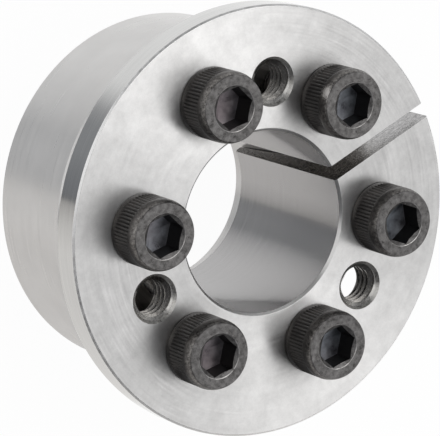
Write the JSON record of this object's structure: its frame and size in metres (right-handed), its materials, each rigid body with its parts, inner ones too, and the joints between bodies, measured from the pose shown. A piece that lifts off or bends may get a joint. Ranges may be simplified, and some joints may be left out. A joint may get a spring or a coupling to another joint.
{
  "type": "shaft locking assembly",
  "caption": "Keyless shaft locking assembly: a flanged, slit inner ring with a taper sleeve in a taper bored outer ring, drawn together by knurled socket head screws.",
  "frame": {"origin": "on the shaft axis at the outer ring's rear face", "axes": "+Z along the shaft axis towards the screw heads, +X through the slit of the inner ring"},
  "size_m": [0.06, 0.06, 0.0341],
  "materials": {
    "ring_steel": "turned and fine-ground bare steel, lightly oiled",
    "screw_steel": "black oxide on alloy steel, matt"
  },
  "bodies": {
    "outer_ring": {"outer_ring": "ring_steel"},
    "inner_ring": {"inner_ring": "ring_steel"},
    "clamp_screw_1": {"clamp_screw_1": "screw_steel"},
    "clamp_screw_2": {"clamp_screw_2": "screw_steel"},
    "clamp_screw_3": {"clamp_screw_3": "screw_steel"},
    "clamp_screw_4": {"clamp_screw_4": "screw_steel"},
    "clamp_screw_5": {"clamp_screw_5": "screw_steel"},
    "clamp_screw_6": {"clamp_screw_6": "screw_steel"}
  },
  "joints": [
    {"name": "draw_up", "type": "slide", "parent": "outer_ring", "child": "inner_ring", "axis": [0, 0, -1], "range_m": [0, 0.001]},
    {"name": "turn_clamp_screw_1", "type": "hinge", "parent": "inner_ring", "child": "clamp_screw_1", "pos_m": [0.0168, 0.0097, 0.0283], "axis": [0, 0, -1], "range_deg": [0, 360]},
    {"name": "turn_clamp_screw_2", "type": "hinge", "parent": "inner_ring", "child": "clamp_screw_2", "pos_m": [0, 0.0194, 0.0283], "axis": [0, 0, -1], "range_deg": [0, 360]},
    {"name": "turn_clamp_screw_3", "type": "hinge", "parent": "inner_ring", "child": "clamp_screw_3", "pos_m": [-0.0168, 0.0097, 0.0283], "axis": [0, 0, -1], "range_deg": [0, 360]},
    {"name": "turn_clamp_screw_4", "type": "hinge", "parent": "inner_ring", "child": "clamp_screw_4", "pos_m": [-0.0168, -0.0097, 0.0283], "axis": [0, 0, -1], "range_deg": [0, 360]},
    {"name": "turn_clamp_screw_5", "type": "hinge", "parent": "inner_ring", "child": "clamp_screw_5", "pos_m": [0, -0.0194, 0.0283], "axis": [0, 0, -1], "range_deg": [0, 360]},
    {"name": "turn_clamp_screw_6", "type": "hinge", "parent": "inner_ring", "child": "clamp_screw_6", "pos_m": [0.0168, -0.0097, 0.0283], "axis": [0, 0, -1], "range_deg": [0, 360]}
  ],
  "couplings": [
    {"joint": "turn_clamp_screw_1", "follows": "draw_up", "rad_per_m": 6283.2},
    {"joint": "turn_clamp_screw_2", "follows": "draw_up", "rad_per_m": 6283.2},
    {"joint": "turn_clamp_screw_3", "follows": "draw_up", "rad_per_m": 6283.2},
    {"joint": "turn_clamp_screw_4", "follows": "draw_up", "rad_per_m": 6283.2},
    {"joint": "turn_clamp_screw_5", "follows": "draw_up", "rad_per_m": 6283.2},
    {"joint": "turn_clamp_screw_6", "follows": "draw_up", "rad_per_m": 6283.2}
  ]
}
